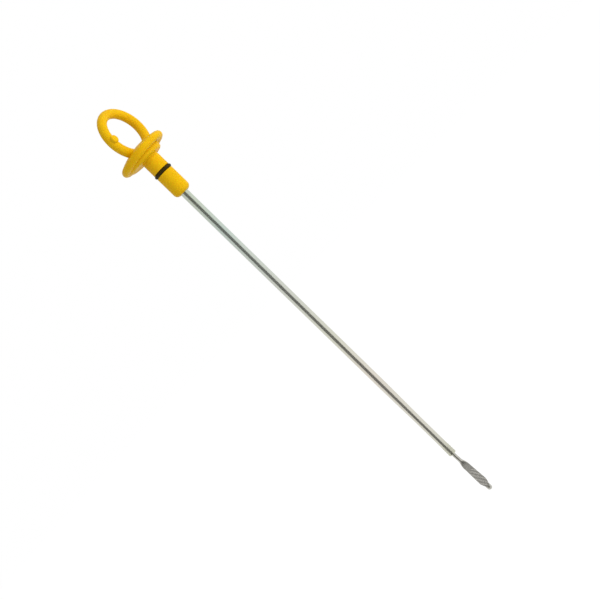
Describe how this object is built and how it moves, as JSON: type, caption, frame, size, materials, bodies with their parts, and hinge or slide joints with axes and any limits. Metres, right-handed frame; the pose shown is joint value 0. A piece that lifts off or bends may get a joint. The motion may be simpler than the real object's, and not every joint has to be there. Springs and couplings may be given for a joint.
{
  "type": "engine oil dipstick",
  "caption": "Engine oil dipstick: yellow finger ring with domed flange and sealed plug on a steel tube, with a knurled gauge blade on a wire at its tip.",
  "frame": {"origin": "on the axis at the seat, where the boss under the flange stops on the guide tube's mouth", "axes": "+Z along the axis out of the guide tube, towards the finger ring; X across the finger ring, which lies in the XZ plane"},
  "size_m": [0.0429, 0.0405, 0.3797],
  "materials": {
    "handle_plastic": "moulded, softly glossy yellow",
    "seal_rubber": "satin black",
    "tube_zinc": "bright zinc with faint yellow and green tints",
    "wire_steel": "plain drawn steel, knurled blade"
  },
  "bodies": {
    "root": {"handle": "handle_plastic", "o_ring": "seal_rubber", "tube": "tube_zinc", "gauge_wire": "wire_steel"}
  },
  "joints": []
}
